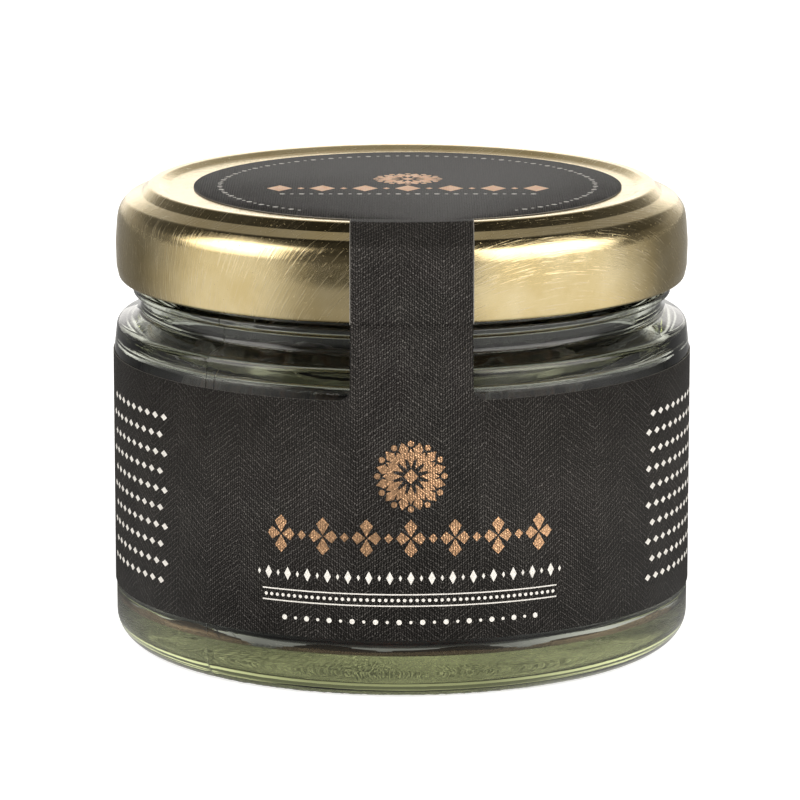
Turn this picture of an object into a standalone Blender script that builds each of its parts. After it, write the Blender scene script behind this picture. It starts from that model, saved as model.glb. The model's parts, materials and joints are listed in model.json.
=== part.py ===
"""Low glass jar of whole black truffles with a twist-off lid and a paper seal label.

Metres, +Z up. The origin is the centre of the jar's resting ring, on the surface it stands on.
The label's tab and seal strip face -Y.
"""

import math
import random

import bmesh
import bpy
from mathutils import Vector, noise

MM = 0.001
COLLECTION = "truffle_jar"
CUTTERS = "truffle_jar_cutters"

SEGMENTS = 64
MERGE = 0.00001

# Jar: outside
JAR_R = 33.2 * MM
RING_OUT_R = 28.3 * MM
RING_IN_R = 26.6 * MM
HEEL_Z = 4.6 * MM
PUNT_Z = 1.5 * MM
RING_SLOPE_IN = 1.6 * MM
RING_SLOPE_Z = 0.7 * MM
WALL_TOP_Z = 34.0 * MM
SHOULDER_Z = 35.8 * MM
SHOULDER_IN = 1.3 * MM
SHOULDER_RISE = 1.6 * MM
KNEE_Z = 37.6 * MM
KNEE_R = 31.9 * MM
NECK_R = 30.1 * MM
NECK_Z = 39.6 * MM
NECK_FOOT_OUT = 1.1 * MM
NECK_FOOT_DROP = 1.3 * MM
BEAD_R = 31.0 * MM
BEAD_LOW_Z = 40.7 * MM
BEAD_TOP_Z = 41.4 * MM
BEAD_SLOPE = 0.4 * MM
RIM_Z = 50.1 * MM
RIM_ROUND = 1.0 * MM

# Jar: inside
BORE_R = 27.4 * MM
INNER_R = 30.7 * MM
FLOOR_Z = 5.6 * MM
FLOOR_RISE = 0.5 * MM
FLOOR_FILLET = 3.0 * MM
INNER_WALL_TOP_Z = 34.4 * MM
INNER_NECK_Z = 39.4 * MM
INNER_SHOULDER = 2.4 * MM
INNER_SHOULDER_RISE = 0.6 * MM
INNER_NECK_SLOPE = 0.3 * MM
INNER_RIM_ROUND = 0.8 * MM

# Threads: four starts, each with a low end that turns down to the bead
THREADS = 4
THREAD_R = 31.35 * MM
THREAD_HALF = 0.65 * MM
THREAD_LOW_Z = 42.6 * MM
THREAD_Z = 44.75 * MM
THREAD_LEAD = 8.0 * MM
THREAD_SPAN = math.radians(94)
THREAD_TURN_DOWN = math.radians(14)
THREAD_START = math.radians(-62)
THREAD_STEPS = 10

# Lid
LID_R = 32.95 * MM
LID_WALL = 0.3 * MM
LID_LOW_Z = 42.4 * MM
HEM_IN_R = 31.65 * MM
HEM_TOP_Z = 44.0 * MM
HEM_TUCK = 0.1 * MM
LEDGE_OUT_R = 31.9 * MM
LEDGE_OUT_Z = 51.25 * MM
LEDGE_IN_R = 30.3 * MM
LEDGE_IN_Z = 51.95 * MM
RIM_CROWN_R = 28.7 * MM
RIM_CROWN_Z = 53.0 * MM
RIM_CROWN_ROUND = 0.7 * MM
SKIRT_ROUND_IN = 1.4 * MM
SKIRT_ROUND_RISE = 2.2 * MM
SKIRT_ROUND_DROP = 2.5 * MM
HEM_ROUND_IN = 1.1 * MM
HEM_ROUND_RISE = 1.6 * MM
PANEL_R = 27.6 * MM
PANEL_Z = 52.7 * MM

# Lugs: bent in from the hem, one under each thread
LUG_IN_R = 30.55 * MM
LUG_WIDTH = math.radians(12)
LUG_LOW_Z = 42.6 * MM
LUG_TOP_Z = 43.85 * MM
LUG_FROM_THREAD = math.radians(22)

# Gasket
GASKET_IN_R = 27.6 * MM
GASKET_OUT_R = 31.9 * MM
GASKET_LOW_Z = 50.4 * MM
GASKET_TOP_Z = 50.75 * MM

# Label
PAPER = 0.2 * MM
BAND_R = 33.45 * MM
BAND_LOW_Z = 7.0 * MM
BAND_TOP_Z = 33.9 * MM
BAND_BACK_GAP = 1.2 * MM
TAB_WIDTH = 13.65 * MM
TAB_CENTRE = 1.1 * MM
TAB_FILLET = 1.45 * MM
TAB_TOP_Z = 42.2 * MM
STRIP_R = 33.3 * MM
STRIP_LOW_Z = 42.5 * MM
DISC_R = 24.5 * MM
DISC_Z = 52.95 * MM

# Contents: radius, bearing and distance from the axis, wart count, seed, height over width
TRUFFLES = {
    "truffle_large": (14.3 * MM, 200, 14.2 * MM, 120, 3, 0.92),
    "truffle_medium": (12.2 * MM, 330, 16.4 * MM, 96, 8, 0.95),
    "truffle_small": (10.3 * MM, 80, 18.2 * MM, 76, 5, 0.90),
}
WART_RISE = 0.07
WART_INSET = 0.45
LUMP = 0.055
GAP = 0.35 * MM
JUICE_TOP_Z = 8.6 * MM


def clear_scene():
    for item in list(bpy.data.objects):
        bpy.data.objects.remove(item, do_unlink=True)


def collection(name):
    made = bpy.data.collections.new(name)
    bpy.context.scene.collection.children.link(made)
    return made


def material(name, colour, roughness, metallic=0.0, transmission=0.0):
    made = bpy.data.materials.new(name)
    made.use_nodes = True
    shader = made.node_tree.nodes["Principled BSDF"]
    shader.inputs["Base Color"].default_value = (*colour, 1.0)
    shader.inputs["Roughness"].default_value = roughness
    shader.inputs["Metallic"].default_value = metallic
    shader.inputs["Transmission Weight"].default_value = transmission
    made.diffuse_color = (*colour, 1.0)
    return made


def add_object(name, mesh, parts, finish=None):
    made = bpy.data.objects.new(name, mesh)
    parts.objects.link(made)
    if finish:
        mesh.materials.append(finish)
    return made


def mesh_from(bm, name):
    mesh = bpy.data.meshes.new(name)
    bm.to_mesh(mesh)
    bm.free()
    return mesh


def hide_as_cutter(item):
    item.hide_render = True
    item.display_type = "WIRE"


def arc(centre_r, centre_z, radius_r, radius_z, start, end, steps):
    """Points (r, z) on an elliptical arc, angles in degrees from +r towards +z."""
    points = []
    for step in range(steps + 1):
        angle = math.radians(start + (end - start) * step / steps)
        points.append((centre_r + radius_r * math.cos(angle), centre_z + radius_z * math.sin(angle)))
    return points


def turned(name, profile, closed, parts, finish):
    """A profile in the XZ plane, outer side from top to bottom, turned about Z with a Screw modifier."""
    bm = bmesh.new()
    verts = [bm.verts.new((r, 0.0, z)) for r, z in profile]
    for first, second in zip(verts, verts[1:]):
        bm.edges.new((first, second))
    if closed:
        bm.edges.new((verts[-1], verts[0]))
    item = add_object(name, mesh_from(bm, name), parts, finish)
    screw = item.modifiers.new("Turn", "SCREW")
    screw.steps = SEGMENTS
    screw.render_steps = SEGMENTS
    screw.use_merge_vertices = True
    screw.merge_threshold = MERGE
    screw.use_smooth_shade = True
    return item


def polar(radius, angle, z):
    return Vector((radius * math.cos(angle), radius * math.sin(angle), z))


def thread_height(turn):
    """Centre height of a thread, a given angle past its low end."""
    if turn < THREAD_TURN_DOWN:
        share = turn / THREAD_TURN_DOWN
        return THREAD_LOW_Z + (THREAD_Z - THREAD_LOW_Z) * math.sin(share * math.pi / 2)
    return THREAD_Z + THREAD_LEAD * (turn - THREAD_TURN_DOWN) / (2 * math.pi)


def threads(cutters):
    """Four ridges whose roots sink into the neck, as one mesh of separate closed ridges."""
    bm = bmesh.new()
    root_r = NECK_R - 0.8 * MM
    for start in range(THREADS):
        rings = []
        for step in range(THREAD_STEPS + 1):
            turn = THREAD_SPAN * step / THREAD_STEPS
            angle = THREAD_START + 2 * math.pi * start / THREADS + turn
            z = thread_height(turn)
            ends = min(1.0, 0.35 + 3.0 * min(step, THREAD_STEPS - step) / THREAD_STEPS)
            out_r = NECK_R + (THREAD_R - NECK_R) * ends
            ring = [
                bm.verts.new(polar(root_r, angle, z - 1.5 * THREAD_HALF)),
                bm.verts.new(polar(out_r, angle, z - 0.5 * THREAD_HALF)),
                bm.verts.new(polar(out_r, angle, z + 0.5 * THREAD_HALF)),
                bm.verts.new(polar(root_r, angle, z + 1.5 * THREAD_HALF)),
            ]
            rings.append(ring)
        for low, high in zip(rings, rings[1:]):
            for side in range(4):
                after = (side + 1) % 4
                bm.faces.new((low[side], high[side], high[after], low[after]))
        bm.faces.new(rings[0])
        bm.faces.new(list(reversed(rings[-1])))
    bmesh.ops.recalc_face_normals(bm, faces=bm.faces[:])
    ridges = add_object("cutter_threads", mesh_from(bm, "cutter_threads"), cutters)
    hide_as_cutter(ridges)
    return ridges


def jar_profile():
    """Outer side from the rim down, under the base to the axis, then the inside up to the rim."""
    neck_wall = NECK_R - BORE_R
    outside = arc(NECK_R - RIM_ROUND, RIM_Z - RIM_ROUND, RIM_ROUND, RIM_ROUND, 90, 0, 3)
    outside += [(NECK_R, BEAD_TOP_Z + BEAD_SLOPE)]
    outside += [(BEAD_R, BEAD_TOP_Z), (BEAD_R, BEAD_LOW_Z), (NECK_R, BEAD_LOW_Z - BEAD_SLOPE)]
    outside += arc(NECK_R + NECK_FOOT_OUT, NECK_Z, NECK_FOOT_OUT, NECK_FOOT_DROP, 180, 270, 3)
    outside += [(KNEE_R, KNEE_Z)]
    outside += arc(JAR_R - SHOULDER_IN, SHOULDER_Z, SHOULDER_IN, SHOULDER_RISE, 68, 0, 3)
    outside += [(JAR_R, WALL_TOP_Z)]
    outside += arc(RING_OUT_R, HEEL_Z, JAR_R - RING_OUT_R, HEEL_Z, 0, -90, 6)
    outside += [(RING_IN_R, 0.0), (RING_IN_R - RING_SLOPE_IN, RING_SLOPE_Z)]
    outside += [(0.6 * RING_IN_R, 0.9 * PUNT_Z), (0.0, PUNT_Z)]
    fillet_r = INNER_R - FLOOR_FILLET
    fillet_z = FLOOR_Z + FLOOR_FILLET
    inside = [(0.0, FLOOR_Z + FLOOR_RISE), (0.6 * fillet_r, FLOOR_Z + 0.7 * FLOOR_RISE)]
    inside += arc(fillet_r, fillet_z, FLOOR_FILLET, FLOOR_FILLET, -90, 0, 4)
    inside += [(INNER_R, INNER_WALL_TOP_Z)]
    shoulder_z = INNER_WALL_TOP_Z + INNER_SHOULDER_RISE
    inside += arc(INNER_R - INNER_SHOULDER, shoulder_z, INNER_SHOULDER, INNER_SHOULDER, 20, 70, 2)
    inside += [(BORE_R + INNER_NECK_SLOPE, INNER_NECK_Z - 1.0 * MM), (BORE_R, INNER_NECK_Z + 0.4 * MM)]
    rim_in = 0.4 * neck_wall
    inside += arc(BORE_R + rim_in, RIM_Z - INNER_RIM_ROUND, rim_in, INNER_RIM_ROUND, 180, 90, 3)
    return outside + inside


def jar_glass(parts, cutters):
    finish = material("glass_green", (0.62, 0.74, 0.58), 0.03, transmission=1.0)
    item = turned("jar_glass", jar_profile(), True, parts, finish)
    union = item.modifiers.new("Threads", "BOOLEAN")
    union.operation = "UNION"
    union.solver = "EXACT"
    union.object = threads(cutters)
    return item


def lid_profile():
    """Outer side from the axis over the rim and down the skirt, round the hem, and back inside."""
    outer = [(0.0, PANEL_Z), (PANEL_R, PANEL_Z)]
    outer += arc(RIM_CROWN_R, RIM_CROWN_Z - RIM_CROWN_ROUND, RIM_CROWN_ROUND, RIM_CROWN_ROUND, 115, 20, 3)
    outer += [(LEDGE_IN_R, LEDGE_IN_Z), (LEDGE_OUT_R, LEDGE_OUT_Z)]
    skirt_z = LEDGE_OUT_Z - SKIRT_ROUND_DROP
    outer += arc(LID_R - SKIRT_ROUND_IN, skirt_z, SKIRT_ROUND_IN, SKIRT_ROUND_RISE, 62, 0, 3)
    outer += [(LID_R, HEM_TOP_Z + HEM_ROUND_RISE)]
    hem_r = LID_R - HEM_ROUND_IN - HEM_TUCK
    outer += arc(hem_r, LID_LOW_Z + HEM_ROUND_RISE, HEM_ROUND_IN, HEM_ROUND_RISE, 0, -90, 4)
    hem = [(HEM_IN_R, LID_LOW_Z + 0.3 * MM), (HEM_IN_R, HEM_TOP_Z - 0.2 * MM)]
    inner_r = LID_R - LID_WALL
    inner = [(inner_r, HEM_TOP_Z + 0.3 * MM), (inner_r, LEDGE_OUT_Z - 2.3 * MM)]
    inner += [(inner_r - 0.75 * MM, LEDGE_OUT_Z - 0.35 * MM)]
    inner += [(LEDGE_IN_R - 0.35 * MM, LEDGE_IN_Z - LID_WALL)]
    inner += [(RIM_CROWN_R + 0.35 * MM, RIM_CROWN_Z - 0.6 * MM), (RIM_CROWN_R, RIM_CROWN_Z - LID_WALL)]
    inner += [(PANEL_R + 0.15 * MM, PANEL_Z - LID_WALL), (0.0, PANEL_Z - LID_WALL)]
    return outer + hem + inner


def lugs(cutters):
    """Four blocks whose outer ends sink into the hem."""
    bm = bmesh.new()
    out_r = HEM_IN_R + 0.5 * MM
    for start in range(THREADS):
        centre = THREAD_START + 2 * math.pi * start / THREADS + LUG_FROM_THREAD
        rings = []
        for share in (-0.5, 0.0, 0.5):
            angle = centre + share * LUG_WIDTH
            ring = [
                bm.verts.new(polar(LUG_IN_R, angle, LUG_LOW_Z)),
                bm.verts.new(polar(out_r, angle, LUG_LOW_Z)),
                bm.verts.new(polar(out_r, angle, LUG_TOP_Z)),
                bm.verts.new(polar(LUG_IN_R, angle, LUG_TOP_Z)),
            ]
            rings.append(ring)
        for low, high in zip(rings, rings[1:]):
            for side in range(4):
                after = (side + 1) % 4
                bm.faces.new((low[side], high[side], high[after], low[after]))
        bm.faces.new(rings[0])
        bm.faces.new(list(reversed(rings[-1])))
    bmesh.ops.recalc_face_normals(bm, faces=bm.faces[:])
    blocks = add_object("cutter_lugs", mesh_from(bm, "cutter_lugs"), cutters)
    hide_as_cutter(blocks)
    return blocks


def lid(parts, cutters):
    finish = material("gold_lacquer", (0.80, 0.65, 0.36), 0.28, metallic=1.0)
    item = turned("lid", lid_profile(), False, parts, finish)
    union = item.modifiers.new("Lugs", "BOOLEAN")
    union.operation = "UNION"
    union.solver = "EXACT"
    union.object = lugs(cutters)
    return item


def lid_gasket(parts):
    finish = material("gasket_cream", (0.82, 0.79, 0.70), 0.55)
    profile = [
        (GASKET_IN_R + 0.5 * MM, GASKET_TOP_Z + 0.9 * MM),
        (LEDGE_IN_R - 0.5 * MM, GASKET_TOP_Z + 0.5 * MM),
        (GASKET_OUT_R - 0.4 * MM, GASKET_TOP_Z - 0.1 * MM),
        (GASKET_OUT_R, GASKET_TOP_Z - 0.8 * MM),
        (GASKET_OUT_R - 0.5 * MM, GASKET_LOW_Z - 1.0 * MM),
        (NECK_R + 0.35 * MM, GASKET_LOW_Z - 0.9 * MM),
        (NECK_R - 0.2 * MM, GASKET_LOW_Z),
        (GASKET_IN_R, GASKET_LOW_Z),
    ]
    return turned("lid_gasket", profile, True, parts, finish)


def solidify_paper(item, offset):
    shell = item.modifiers.new("Paper", "SOLIDIFY")
    shell.thickness = PAPER
    shell.offset = offset
    shell.use_even_offset = True


def label_jar(parts, finish):
    """A band wrapped round the jar with a tab in front, its top edge filleted into the tab."""
    left = TAB_CENTRE - TAB_WIDTH / 2
    right = TAB_CENTRE + TAB_WIDTH / 2
    half_wrap = math.pi * BAND_R - BAND_BACK_GAP / 2
    columns = {}
    fillet_steps = 4
    for step in range(fillet_steps + 1):
        turn = math.pi / 2 * step / fillet_steps
        out = TAB_FILLET * (1 - math.sin(turn))
        top = BAND_TOP_Z + TAB_FILLET * (1 - math.cos(turn))
        columns[round(left - out, 7)] = top
        columns[round(right + out, 7)] = top
    for step in range(1, 6):
        columns[round(left + TAB_WIDTH * step / 6, 7)] = BAND_TOP_Z + TAB_FILLET
    side_steps = 28
    for step in range(1, side_steps + 1):
        share = step / side_steps
        first = left - TAB_FILLET
        last = right + TAB_FILLET
        columns[round(first + (-half_wrap - first) * share, 7)] = BAND_TOP_Z
        columns[round(last + (half_wrap - last) * share, 7)] = BAND_TOP_Z
    bm = bmesh.new()
    rows = []
    for along in sorted(columns):
        angle = along / BAND_R - math.pi / 2
        heights = [BAND_LOW_Z, BAND_TOP_Z]
        if columns[along] > BAND_TOP_Z + MERGE:
            heights.append(columns[along])
        if left - MERGE < along < right + MERGE:
            heights.append(TAB_TOP_Z)
        rows.append([bm.verts.new(polar(BAND_R, angle, z)) for z in heights])
    for first, second in zip(rows, rows[1:]):
        shared = min(len(first), len(second))
        for low in range(shared - 1):
            bm.faces.new((first[low], second[low], second[low + 1], first[low + 1]))
        if len(first) != len(second) and shared == 2:
            tall = first if len(first) > len(second) else second
            short = second if tall is first else first
            corners = (short[1], tall[1], tall[2]) if tall is second else (short[1], tall[2], tall[1])
            bm.faces.new(corners)
    bmesh.ops.recalc_face_normals(bm, faces=bm.faces[:])
    item = add_object("label_jar", mesh_from(bm, "label_jar"), parts, finish)
    solidify_paper(item, 1.0)
    return item


def seal_path():
    """Points (r, z) of the strip's inner face from the lid's lower edge to the disc's edge."""
    path = [(STRIP_R, STRIP_LOW_Z), (STRIP_R, LEDGE_OUT_Z - 2.4 * MM)]
    path += [(STRIP_R - 0.35 * MM, LEDGE_OUT_Z - 0.9 * MM), (LEDGE_OUT_R + 0.1 * MM, LEDGE_OUT_Z + 0.4 * MM)]
    path += [(RIM_CROWN_R + 0.7 * MM, RIM_CROWN_Z), (RIM_CROWN_R - 0.3 * MM, RIM_CROWN_Z + 0.25 * MM)]
    path += [(PANEL_R - 0.8 * MM, DISC_Z)]
    return path


def label_lid(parts, finish):
    """The seal strip over the lid, one sheet with the disc on the panel."""
    columns = 6
    disc_steps = 40
    offsets = [TAB_CENTRE + TAB_WIDTH * (step / columns - 0.5) for step in range(columns + 1)]
    bm = bmesh.new()
    rows = []
    for radius, z in seal_path():
        rows.append([bm.verts.new((x, -math.sqrt(radius ** 2 - x ** 2), z)) for x in offsets])
    front = [bm.verts.new((x, -math.sqrt(DISC_R ** 2 - x ** 2), DISC_Z)) for x in offsets]
    rows.append(front)
    for low, high in zip(rows, rows[1:]):
        for side in range(columns):
            bm.faces.new((low[side], low[side + 1], high[side + 1], high[side]))
    start = math.atan2(front[-1].co.y, front[-1].co.x)
    end = math.atan2(front[0].co.y, front[0].co.x) + 2 * math.pi
    rest = []
    for step in range(1, disc_steps):
        rest.append(bm.verts.new(polar(DISC_R, start + (end - start) * step / disc_steps, DISC_Z)))
    centre = bm.verts.new((0.0, 0.0, DISC_Z))
    edge = front + rest + [front[0]]
    for first, second in zip(edge, edge[1:]):
        bm.faces.new((first, second, centre))
    bmesh.ops.recalc_face_normals(bm, faces=bm.faces[:])
    item = add_object("label_lid", mesh_from(bm, "label_lid"), parts, finish)
    solidify_paper(item, 1.0)
    return item


def wart_cells(count, seed):
    """A closed mesh of one polygon for each wart, on a unit sphere, from an even spiral of points."""
    draw = random.Random(seed)
    golden = math.pi * (3 - math.sqrt(5))
    hull = bmesh.new()
    for step in range(count):
        z = 1 - 2 * (step + 0.5) / count
        around = golden * step + draw.uniform(-0.16, 0.16)
        flat = math.sqrt(1 - z * z)
        hull.verts.new(Vector((flat * math.cos(around), flat * math.sin(around), z)).normalized())
    bmesh.ops.convex_hull(hull, input=hull.verts[:])
    hull.normal_update()
    cells = bmesh.new()
    corners = {}
    for face in hull.faces:
        corners[face] = cells.verts.new(face.calc_center_median().normalized())
    for vert in hull.verts:
        normal = vert.co.normalized()
        side = normal.orthogonal().normalized()
        other = normal.cross(side)
        around = sorted(
            vert.link_faces,
            key=lambda face: math.atan2(corners[face].co.dot(other), corners[face].co.dot(side)),
        )
        cells.faces.new([corners[face] for face in around])
    hull.free()
    cells.normal_update()
    return cells


def truffle_mesh(name, radius, warts, seed, flatness, grow=0.0):
    """Low lumps on a ball, and on them one raised, flat-topped polygon for each wart."""
    bm = wart_cells(warts, seed)
    raised = bmesh.ops.inset_individual(bm, faces=bm.faces[:], thickness=0.0, depth=0.0)
    tops = [face for face in bm.faces if face not in set(raised["faces"])]
    draw = random.Random(seed + 100)
    for face in tops:
        centre = face.calc_center_median()
        lift = 1 + WART_RISE * draw.uniform(0.65, 1.25)
        for vert in face.verts:
            vert.co = vert.co.lerp(centre, WART_INSET) * lift
    shift = Vector((seed * 1.7, seed * 0.9, seed * 2.3))
    for vert in bm.verts:
        bump = noise.noise(vert.co.normalized() * 1.5 + shift)
        scale = radius * (1 + LUMP * 2 * bump)
        size = vert.co.length * scale + grow
        vert.co = vert.co.normalized() * size
        vert.co.z *= flatness
    bmesh.ops.triangulate(bm, faces=bm.faces[:])
    bm.normal_update()
    return mesh_from(bm, name)


def place_truffle(item, bearing, distance, seed):
    """Turn the truffle and stand its lowest point just clear of the jar's floor."""
    turn = math.radians(bearing)
    item.location = (distance * math.cos(turn), distance * math.sin(turn), 0.0)
    item.rotation_euler = (0.2 * seed, 0.15 * seed, 0.7 * seed)
    bpy.context.view_layer.update()
    lowest = min((item.matrix_world @ vert.co).z for vert in item.data.vertices)
    item.location.z = FLOOR_Z + FLOOR_RISE + GAP - lowest


def truffles(parts, cutters):
    finish = material("truffle_skin", (0.035, 0.028, 0.024), 0.6)
    pockets = []
    for name, (radius, bearing, distance, warts, seed, flatness) in TRUFFLES.items():
        item = add_object(name, truffle_mesh(name, radius, warts, seed, flatness), parts, finish)
        place_truffle(item, bearing, distance, seed)
        mesh = truffle_mesh(name + "_pocket", radius, warts, seed, flatness, grow=GAP * 1.3)
        pocket = add_object("cutter_" + name, mesh, cutters)
        pocket.location = item.location
        pocket.rotation_euler = item.rotation_euler
        hide_as_cutter(pocket)
        pockets.append(pocket)
    return pockets


def truffle_juice(parts, pockets):
    """A shallow pool over the floor, cut back round each truffle that stands in it."""
    finish = material("juice_brown", (0.16, 0.08, 0.03), 0.05, transmission=0.6)
    fillet_r = INNER_R - FLOOR_FILLET
    fillet_z = FLOOR_Z + FLOOR_FILLET
    inner = FLOOR_FILLET - GAP
    low_turn = math.degrees(math.asin((fillet_z - JUICE_TOP_Z) / inner))
    profile = [(0.0, JUICE_TOP_Z)]
    profile += arc(fillet_r, fillet_z, inner, inner, -low_turn, -90, 3)
    profile += [(0.6 * fillet_r, FLOOR_Z + 0.7 * FLOOR_RISE + GAP), (0.0, FLOOR_Z + FLOOR_RISE + GAP)]
    item = turned("truffle_juice", profile, False, parts, finish)
    for pocket in pockets:
        cut = item.modifiers.new(pocket.name, "BOOLEAN")
        cut.operation = "DIFFERENCE"
        cut.solver = "EXACT"
        cut.object = pocket
    return item


def main():
    clear_scene()
    parts = collection(COLLECTION)
    cutters = collection(CUTTERS)
    paper = material("label_paper", (0.045, 0.045, 0.05), 0.6)
    jar_glass(parts, cutters)
    lid(parts, cutters)
    lid_gasket(parts)
    label_jar(parts, paper)
    label_lid(parts, paper)
    pockets = truffles(parts, cutters)
    truffle_juice(parts, pockets)


main()
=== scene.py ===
"""The dressed jar of whole black truffles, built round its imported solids.

Metres, +Z up, the jar's axis on Z and its label's tab facing -Y. Lengths in the code are millimetres
times MM. The corners of turned profiles and the ornaments are written in plain millimetres and scaled
once they are drawn.
"""

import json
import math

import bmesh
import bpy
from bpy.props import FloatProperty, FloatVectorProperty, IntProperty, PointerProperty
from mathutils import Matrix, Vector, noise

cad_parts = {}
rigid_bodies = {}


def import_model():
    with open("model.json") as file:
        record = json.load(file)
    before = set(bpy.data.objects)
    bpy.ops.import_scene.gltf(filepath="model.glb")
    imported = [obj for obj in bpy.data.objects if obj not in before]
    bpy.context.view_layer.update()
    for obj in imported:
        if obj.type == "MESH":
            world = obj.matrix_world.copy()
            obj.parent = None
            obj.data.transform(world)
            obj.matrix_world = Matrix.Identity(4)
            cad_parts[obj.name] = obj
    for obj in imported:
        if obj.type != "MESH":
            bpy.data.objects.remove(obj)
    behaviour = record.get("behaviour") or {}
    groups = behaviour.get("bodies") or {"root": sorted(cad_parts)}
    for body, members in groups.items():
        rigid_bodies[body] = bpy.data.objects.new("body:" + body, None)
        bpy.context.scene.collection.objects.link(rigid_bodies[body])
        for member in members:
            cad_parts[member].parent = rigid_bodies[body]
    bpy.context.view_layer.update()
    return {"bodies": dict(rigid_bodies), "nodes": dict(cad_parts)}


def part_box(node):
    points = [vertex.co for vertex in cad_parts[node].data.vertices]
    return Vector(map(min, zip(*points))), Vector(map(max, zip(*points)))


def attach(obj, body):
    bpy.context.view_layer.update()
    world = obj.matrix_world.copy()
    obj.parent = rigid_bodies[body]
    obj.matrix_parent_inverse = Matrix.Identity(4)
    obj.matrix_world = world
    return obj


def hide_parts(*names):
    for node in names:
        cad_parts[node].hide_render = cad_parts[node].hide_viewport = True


bl_info = {
    "name": "Truffle Jar",
    "version": (1, 0, 0),
    "blender": (4, 5, 0),
    "location": "View3D > Sidebar > Truffle Jar",
    "description": "Dresses a low jar of black truffles: glass, lid, label, contents and studio",
    "category": "Object",
}

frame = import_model()

MM = 0.001
JAR_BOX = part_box("jar_glass")
LID_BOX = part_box("lid")
BAND_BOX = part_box("label_jar")
ARC_STEP = math.radians(9)
FULL_TURN = 2 * math.pi
FRONT = -math.pi / 2
SEAM = math.radians(-131)


def length(label, value, about):
    """A length among a group's settings."""
    return FloatProperty(name=label, description=about, default=value, unit="LENGTH")


def count(label, value, about):
    """A number of faces among a group's settings."""
    return IntProperty(name=label, description=about, default=value, min=64)


def tint(label, value, about):
    """A colour among a group's settings."""
    return FloatVectorProperty(name=label, description=about, subtype="COLOR", default=value, min=0, max=1)


class TRUFFLEJAR_PG_jar(bpy.types.PropertyGroup):
    radius: length("Radius", JAR_BOX[1].x, "Outside radius of the straight wall")
    height: length("Rim height", JAR_BOX[1].z, "Height of the glass rim above the table")
    wall: length("Wall", 2.5 * MM, "Thickness of the side wall")
    floor: length("Floor", 5.6 * MM, "Height of the inner floor under the truffles")
    floor_edge: length("Floor edge", 3.7 * MM, "Height that the inner floor falls to at the wall")
    waver: length("Waver", 0.16 * MM, "How far the inner faces wander")
    stipple: length("Stipple", 0.20 * MM, "Height of the grains on the resting ring")
    steps: count("Steps", 468, "Faces round the jar")


class TRUFFLEJAR_PG_lid(bpy.types.PropertyGroup):
    radius: length("Radius", LID_BOX[1].x, "Outside radius of the skirt")
    low: length("Lower edge", LID_BOX[0].z, "Height of the hem's lower edge")
    sheet: length("Sheet", 0.22 * MM, "Thickness of the tinplate")
    steps: count("Steps", 384, "Faces round the lid")


class TRUFFLEJAR_PG_label(bpy.types.PropertyGroup):
    low: length("Band bottom", BAND_BOX[0].z, "Height of the band's lower edge")
    top: length("Band top", 33.9 * MM, "Height of the band's upper edge")
    tab_width: length("Strip width", 13.65 * MM, "Width of the seal strip")
    tab_centre: length("Strip offset", 1.1 * MM, "Strip's centre, right of the front")
    paper: length("Paper", 0.11 * MM, "Thickness of the paper")
    disc_shift: length("Disc offset", 0.68 * MM, "Disc's centre, right of the lid's")
    disc: length("Disc radius", 24.6 * MM, "Radius of the disc on the lid")


class TRUFFLEJAR_PG_finish(bpy.types.PropertyGroup):
    glass: tint("Glass tint", (0.93, 0.945, 0.775), "Colour that thick glass takes on")
    gold: tint("Gold lacquer", (0.86, 0.71, 0.41), "Colour of the lid")
    paper: tint("Label black", (0.018, 0.016, 0.014), "Printed black of the label")
    copper: tint("Copper foil", (1.0, 0.60, 0.34), "Foil print on the label")
    juice: tint("Juice", (0.45, 0.20, 0.07), "Colour of the truffle juice")


def polar(radius, angle, z):
    return Vector((radius * math.cos(angle), radius * math.sin(angle), z))


def smooth_share(value):
    """0 below 0, 1 above 1, and a smooth rise between."""
    value = min(1.0, max(0.0, value))
    return value * value * (3 - 2 * value)


def off_angle(angle, centre):
    """How far the angle is from the centre, the short way round."""
    return abs((angle - centre + math.pi) % FULL_TURN - math.pi)


def split(points, pieces_of):
    """The points with even ones between, so that each stretch has as many pieces as it is given."""
    fine = []
    for first, second in zip(points, points[1:]):
        pieces = max(1, pieces_of(first, second))
        fine += [first.lerp(second, piece / pieces) for piece in range(pieces)]
    return fine + [points[-1]]


def rounded(corners, longest):
    """Points (r, z) in metres along the corners (r, z, radius) in millimetres, each rounded off.

    No two neighbours are further apart than longest.
    """
    corners = [(r * MM, z * MM, radius * MM) for r, z, radius in corners]
    path = [Vector(corners[0][:2])]
    for before, corner, after in zip(corners, corners[1:], corners[2:]):
        here = Vector(corner[:2])
        back = Vector(before[:2]) - here
        ahead = Vector(after[:2]) - here
        inside = back.angle(ahead)
        if corner[2] <= 0 or inside > math.pi - 0.01:
            path.append(here)
            continue
        reach = min(corner[2] / math.tan(inside / 2), 0.49 * back.length, 0.49 * ahead.length)
        radius = reach * math.tan(inside / 2)
        bisector = (back.normalized() + ahead.normalized()).normalized()
        centre = here + bisector * (radius / math.sin(inside / 2))
        start = here + back.normalized() * reach - centre
        end = here + ahead.normalized() * reach - centre
        turn = math.pi - inside
        steps = max(2, math.ceil(turn / ARC_STEP))
        for step in range(steps + 1):
            share = step / steps
            mixed = start * math.sin((1 - share) * turn) + end * math.sin(share * turn)
            path.append(centre + mixed / math.sin(turn))
    path.append(Vector(corners[-1][:2]))
    return split(path, lambda first, second: math.ceil((second - first).length / longest - 1e-6))


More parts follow.
